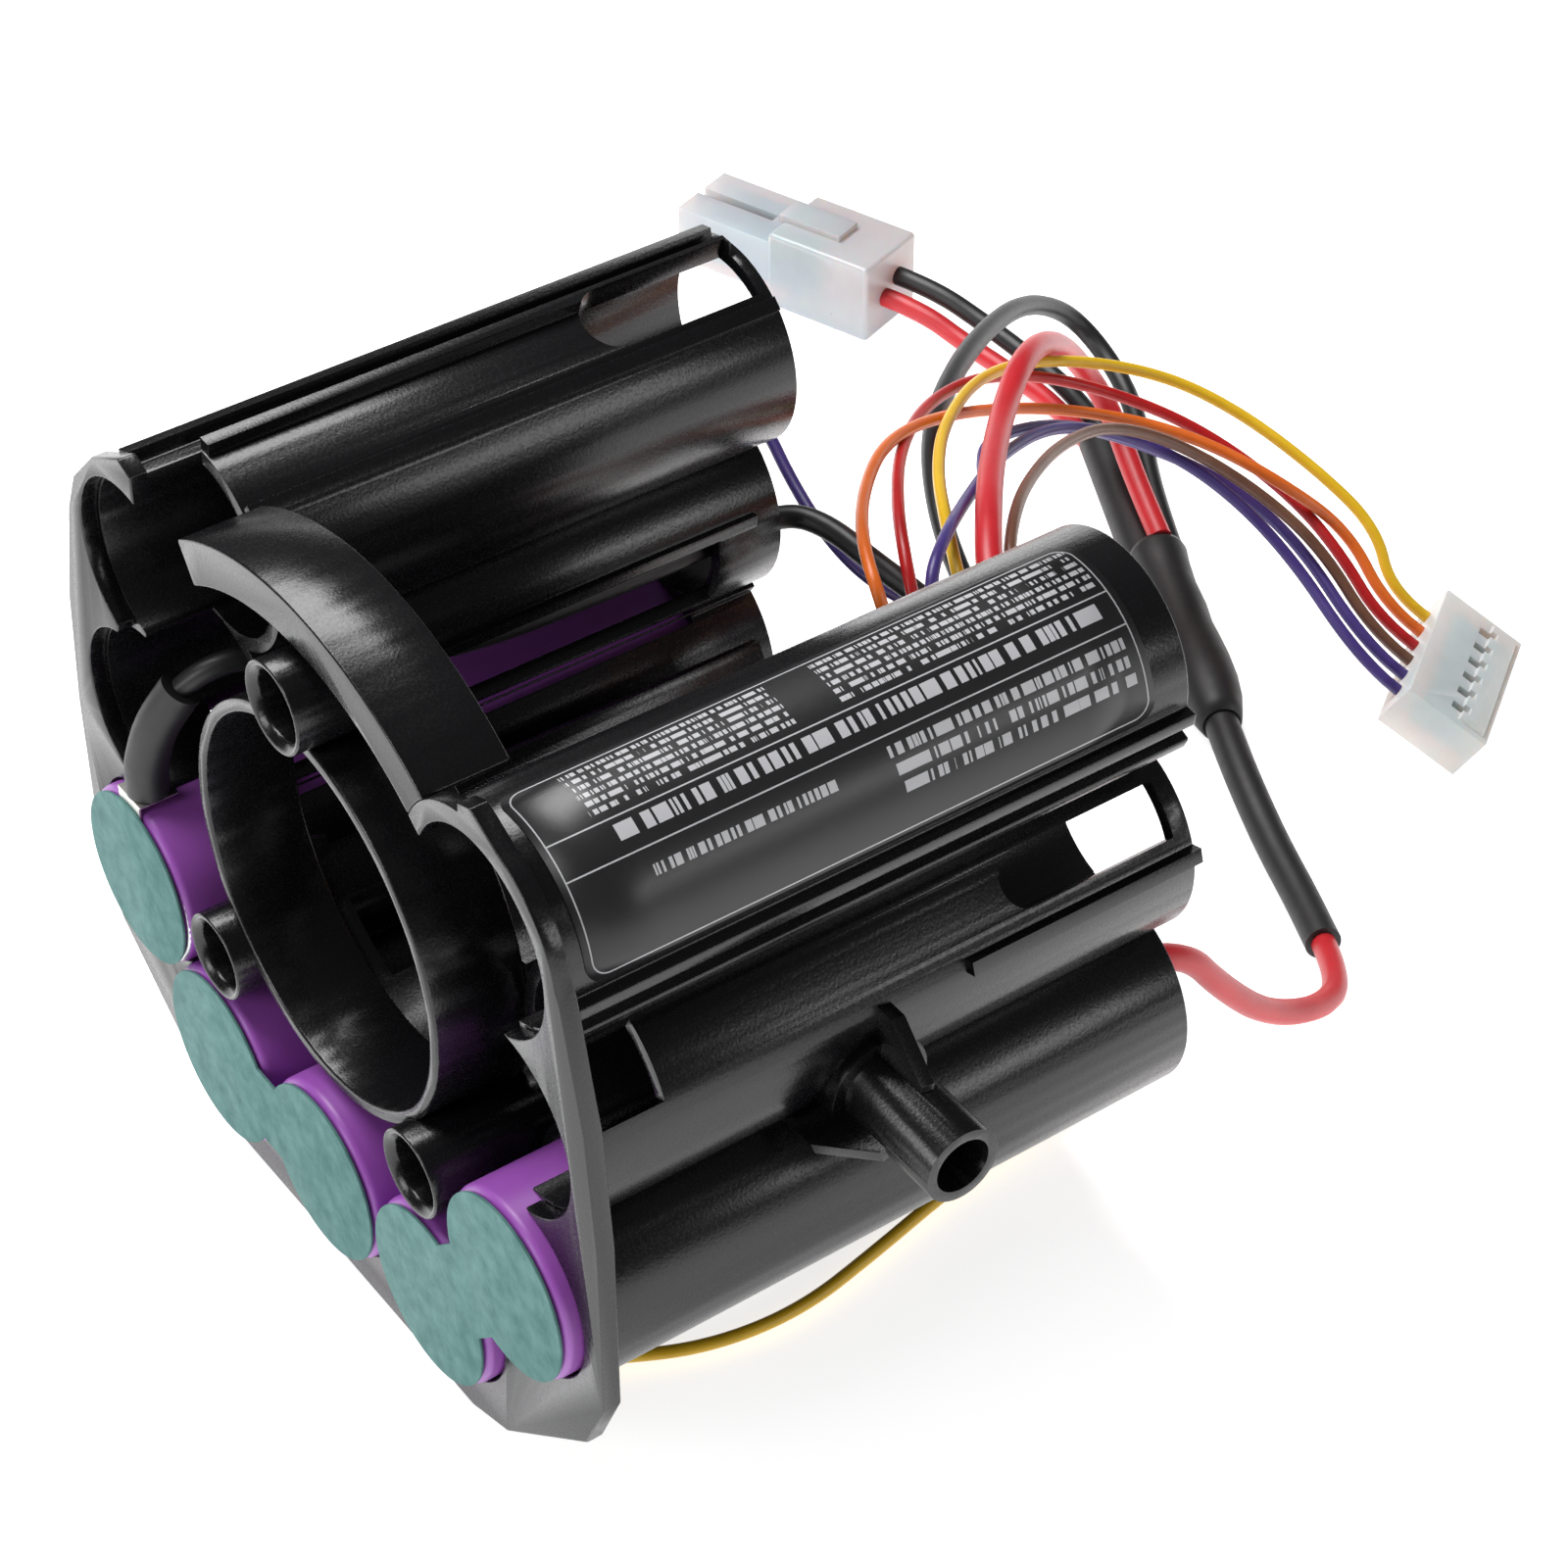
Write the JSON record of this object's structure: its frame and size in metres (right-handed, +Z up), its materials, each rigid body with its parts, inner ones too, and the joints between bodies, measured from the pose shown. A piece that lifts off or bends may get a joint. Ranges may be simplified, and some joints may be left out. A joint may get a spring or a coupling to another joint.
{
  "type": "battery pack",
  "caption": "Open moulded holder with a ring of purple cylindrical cells round a central duct, spare bays above, a side peg, and wire leads to a power plug and a sense plug.",
  "frame": {"origin": "middle of the footprint of the holder and cells (wires left out), on the surface the pack stands on", "axes": "+X along the cells from the papered near end to the far end where the wires leave, +Y across towards the side without the peg, +Z up"},
  "size_m": [0.1528, 0.1806, 0.0793],
  "materials": {
    "holder_plastic": "black moulded plastic, semi-gloss with a fine grain",
    "cell_steel": "nickel-plated steel",
    "cell_wrap": "purple shrink wrap, satin",
    "fish_paper": "teal-green insulating paper, mottled",
    "nickel": "plain nickel strip",
    "label_film": "satin black film with a thin white border",
    "heat_shrink": "matte black heat-shrink",
    "wire_black": "soft black insulation",
    "wire_red": "soft red insulation",
    "sense_wire_yellow": "yellow insulation",
    "sense_wire_orange": "orange insulation",
    "sense_wire_red": "red insulation",
    "sense_wire_brown": "brown insulation",
    "sense_wire_purple": "dark purple insulation",
    "white_nylon": "opaque white nylon",
    "clear_nylon": "translucent white nylon",
    "terminal_tin": "tinned crimp contact"
  },
  "bodies": {
    "root": {"duct_front": "holder_plastic", "duct_rear": "holder_plastic", "front_flange": "holder_plastic", "collar_band": "holder_plastic", "side_stub": "holder_plastic", "screw_bosses": "holder_plastic", "bay_top_far": "holder_plastic", "bay_middle_far": "holder_plastic", "bay_cell_1": "holder_plastic", "bay_cell_2": "holder_plastic", "bay_cell_3": "holder_plastic", "bay_cell_4": "holder_plastic", "bay_cell_5": "holder_plastic", "bay_middle_near": "holder_plastic", "bay_top_near": "holder_plastic", "cell_can_1": "cell_steel", "cell_can_2": "cell_steel", "cell_can_3": "cell_steel", "cell_can_4": "cell_steel", "cell_can_5": "cell_steel", "cell_wrap_1": "cell_wrap", "cell_wrap_2": "cell_wrap", "cell_wrap_3": "cell_wrap", "cell_wrap_4": "cell_wrap", "cell_wrap_5": "cell_wrap", "paper_near_1": "fish_paper", "paper_near_2_3": "fish_paper", "paper_near_4_5": "fish_paper", "paper_far_1_2": "fish_paper", "paper_far_3_4": "fish_paper", "paper_far_5": "fish_paper", "strip_near_1": "nickel", "strip_near_2_3": "nickel", "strip_near_4_5": "nickel", "strip_far_1_2": "nickel", "strip_far_3_4": "nickel", "strip_far_5": "nickel", "label": "label_film", "thermal_sleeve": "heat_shrink", "upper_sleeve": "heat_shrink", "joint_sleeve": "heat_shrink", "fuse_sleeve": "heat_shrink", "black_main": "wire_black", "power_black": "wire_black", "lead_black_inner": "wire_black", "red_main": "wire_red", "power_red": "wire_red", "red_return": "wire_red", "sense_yellow": "sense_wire_yellow", "sense_orange": "sense_wire_orange", "sense_red": "sense_wire_red", "sense_brown": "sense_wire_brown", "sense_purple_a": "sense_wire_purple", "sense_purple_b": "sense_wire_purple", "sense_connector": "white_nylon", "power_connector": "clear_nylon", "sense_terminals": "terminal_tin", "power_terminals": "terminal_tin"}
  },
  "joints": []
}
